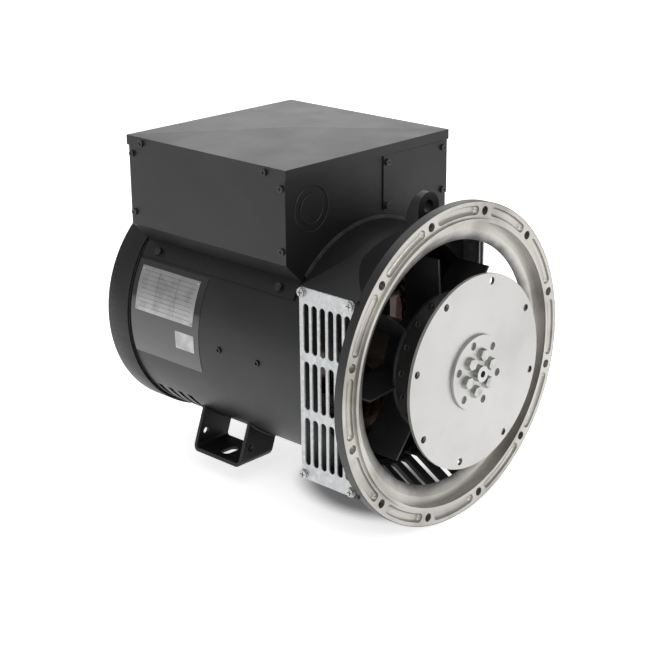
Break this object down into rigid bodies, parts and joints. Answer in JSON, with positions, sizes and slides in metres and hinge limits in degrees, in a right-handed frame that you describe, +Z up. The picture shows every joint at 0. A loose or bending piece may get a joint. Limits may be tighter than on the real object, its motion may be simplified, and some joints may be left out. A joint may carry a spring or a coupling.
{
  "type": "generator alternator head",
  "caption": "Single-bearing brushless alternator head: housing flange and drive disc, ventilated bracket, round stator frame on channel feet, terminal box above, fan and wound rotor inside.",
  "frame": {"origin": "centre of the housing flange's engine-side face, on the shaft axis", "axes": "+Z up, shaft along Y, the drive disc faces -Y and the rear cover is at +Y, -X is the side with the slotted grille"},
  "size_m": [0.4032, 0.5115, 0.4537],
  "materials": {
    "powder_black": "satin powder coat",
    "cast_flange": "machined casting, black outside",
    "galvanised": "galvanised sheet",
    "disc_steel": "turned steel",
    "zinc_steel": "zinc plated",
    "black_steel": "blackened",
    "fan_black": "matt",
    "shaft_steel": "ground",
    "lamination": "varnished laminations",
    "copper_varnish": "varnished copper",
    "bearing_steel": "polished",
    "cast_grey": "as cast",
    "rubber_black": "matt",
    "moulded_black": "moulded",
    "moulded_tan": "moulded",
    "brass": "turned",
    "label_black": "gloss film",
    "label_silver": "brushed"
  },
  "bodies": {
    "stator": {"bracket_flange": "cast_flange", "bracket_cage": "cast_flange", "side_grille_left": "galvanised", "side_frame_right": "galvanised", "grille_screws": "zinc_steel", "outlet_baffles": "galvanised", "baffle_screws": "zinc_steel", "stator_frame": "powder_black", "frame_plugs": "powder_black", "stator_core": "lamination", "end_winding_drive": "copper_varnish", "end_winding_rear": "copper_varnish", "rear_bracket": "cast_grey", "rear_bracket_screws": "black_steel", "rear_cover": "powder_black", "rear_cover_screws": "black_steel", "bearing_outer_race": "bearing_steel", "bearing_cap": "cast_grey", "exciter_stator": "lamination", "exciter_field_coils": "copper_varnish", "foot_left": "powder_black", "foot_right": "powder_black", "box_side_right": "powder_black", "box_side_left": "powder_black", "saddle_bolts": "black_steel", "box_end_drive": "powder_black", "box_end_rear": "powder_black", "arch_seal": "rubber_black", "knockouts": "powder_black", "box_lid": "powder_black", "lid_screws": "black_steel", "panel_screws": "black_steel", "regulator_cover": "powder_black", "regulator_cover_screws": "black_steel", "mounting_deck": "galvanised", "regulator": "moulded_black", "terminal_block": "moulded_tan", "terminal_studs": "brass", "lead_grommet": "rubber_black", "stator_leads": "rubber_black", "label_panel": "label_black", "rating_plate": "label_silver", "blank_tag": "label_silver"},
    "rotor": {"shaft": "shaft_steel", "rotor_core": "lamination", "rotor_coils": "copper_varnish", "fan": "fan_black", "coupling_discs": "disc_steel", "clamp_plate": "disc_steel", "hub_bolts": "zinc_steel", "bearing_inner_race": "bearing_steel", "exciter_armature": "lamination", "armature_coils": "copper_varnish", "rectifier_plate": "cast_grey", "rectifier_diodes": "black_steel"},
    "ball_cage": {"bearing_cage": "brass", "bearing_balls": "bearing_steel"}
  },
  "joints": [
    {"name": "rotor_spin", "type": "hinge", "parent": "stator", "child": "rotor", "pos_m": [0, 0.2, 0], "axis": [0, 1, 0], "continuous": true},
    {"name": "ball_cage_spin", "type": "hinge", "parent": "stator", "child": "ball_cage", "pos_m": [0, 0.435, 0], "axis": [0, 1, 0], "continuous": true}
  ],
  "couplings": [
    {"joint": "ball_cage_spin", "follows": "rotor_spin", "ratio": 0.4008}
  ]
}
